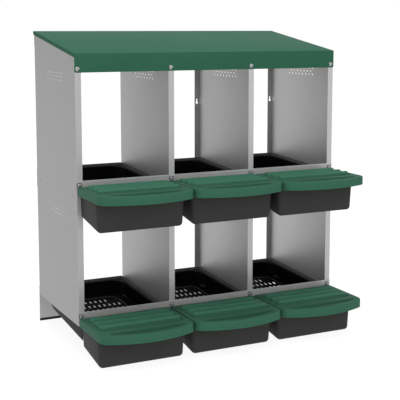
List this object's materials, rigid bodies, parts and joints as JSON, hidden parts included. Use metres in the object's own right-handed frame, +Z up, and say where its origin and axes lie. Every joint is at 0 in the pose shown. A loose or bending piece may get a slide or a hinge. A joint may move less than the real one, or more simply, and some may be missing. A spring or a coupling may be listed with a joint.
{
  "type": "chicken nesting box",
  "caption": "Free-standing chicken nesting box: tiers of galvanised bays under a sloping roof, with roll-away nest pans and front egg trays under hinged ridged lids.",
  "frame": {"origin": "on the floor, under the middle of the whole box", "axes": "+X across the nests to the viewer's right, +Y from the egg trays to the back, +Z up"},
  "size_m": [0.9324, 0.6588, 1.0085],
  "materials": {
    "galvanised_sheet": "plain zinc-coated sheet, satin",
    "green_paint": "powder coat, satin",
    "green_plastic": "moulded, fine grain",
    "black_plastic": "moulded, fine grain",
    "dark_grey_plastic": "moulded, fine grain",
    "edging": "plain",
    "zinc_fasteners": "bright zinc"
  },
  "bodies": {
    "frame": {"left_side_panel": "galvanised_sheet", "left_divider": "galvanised_sheet", "right_divider": "galvanised_sheet", "right_side_panel": "galvanised_sheet", "lower_front_rail": "galvanised_sheet", "upper_front_rail": "galvanised_sheet", "bottom_rear_rail": "galvanised_sheet", "middle_rear_rail": "galvanised_sheet", "top_rear_rail": "galvanised_sheet", "upper_pan_support_left_1": "galvanised_sheet", "upper_pan_support_left_2": "galvanised_sheet", "upper_pan_support_middle_1": "galvanised_sheet", "upper_pan_support_middle_2": "galvanised_sheet", "upper_pan_support_right_1": "galvanised_sheet", "upper_pan_support_right_2": "galvanised_sheet", "roof": "green_paint", "foot_edging": "edging", "nest_pan_lower_left": "black_plastic", "nest_pan_lower_middle": "black_plastic", "nest_pan_lower_right": "black_plastic", "nest_pan_upper_left": "black_plastic", "nest_pan_upper_middle": "black_plastic", "nest_pan_upper_right": "black_plastic", "egg_tray_lower_left": "dark_grey_plastic", "egg_tray_lower_middle": "dark_grey_plastic", "egg_tray_lower_right": "dark_grey_plastic", "egg_tray_upper_left": "dark_grey_plastic", "egg_tray_upper_middle": "dark_grey_plastic", "egg_tray_upper_right": "dark_grey_plastic", "roof_screws": "zinc_fasteners", "roof_nuts": "zinc_fasteners", "front_rail_screws": "zinc_fasteners", "front_rail_nuts": "zinc_fasteners", "rear_rail_screws": "zinc_fasteners", "rear_rail_nuts": "zinc_fasteners", "pan_support_rivets": "zinc_fasteners"},
    "lid_lower_left": {"egg_lid_lower_left": "green_plastic"},
    "lid_lower_middle": {"egg_lid_lower_middle": "green_plastic"},
    "lid_lower_right": {"egg_lid_lower_right": "green_plastic"},
    "lid_upper_left": {"egg_lid_upper_left": "green_plastic"},
    "lid_upper_middle": {"egg_lid_upper_middle": "green_plastic"},
    "lid_upper_right": {"egg_lid_upper_right": "green_plastic"}
  },
  "joints": [
    {"name": "lid_hinge_lower_left", "type": "hinge", "parent": "frame", "child": "lid_lower_left", "pos_m": [-0.31, -0.1144, 0.1112], "axis": [-1, 0, 0], "range_deg": [0, 92]},
    {"name": "lid_hinge_lower_middle", "type": "hinge", "parent": "frame", "child": "lid_lower_middle", "pos_m": [0, -0.1144, 0.1112], "axis": [-1, 0, 0], "range_deg": [0, 92]},
    {"name": "lid_hinge_lower_right", "type": "hinge", "parent": "frame", "child": "lid_lower_right", "pos_m": [0.31, -0.1144, 0.1112], "axis": [-1, 0, 0], "range_deg": [0, 92]},
    {"name": "lid_hinge_upper_left", "type": "hinge", "parent": "frame", "child": "lid_upper_left", "pos_m": [-0.31, -0.1144, 0.5257], "axis": [-1, 0, 0], "range_deg": [0, 92]},
    {"name": "lid_hinge_upper_middle", "type": "hinge", "parent": "frame", "child": "lid_upper_middle", "pos_m": [0, -0.1144, 0.5257], "axis": [-1, 0, 0], "range_deg": [0, 92]},
    {"name": "lid_hinge_upper_right", "type": "hinge", "parent": "frame", "child": "lid_upper_right", "pos_m": [0.31, -0.1144, 0.5257], "axis": [-1, 0, 0], "range_deg": [0, 92]}
  ]
}
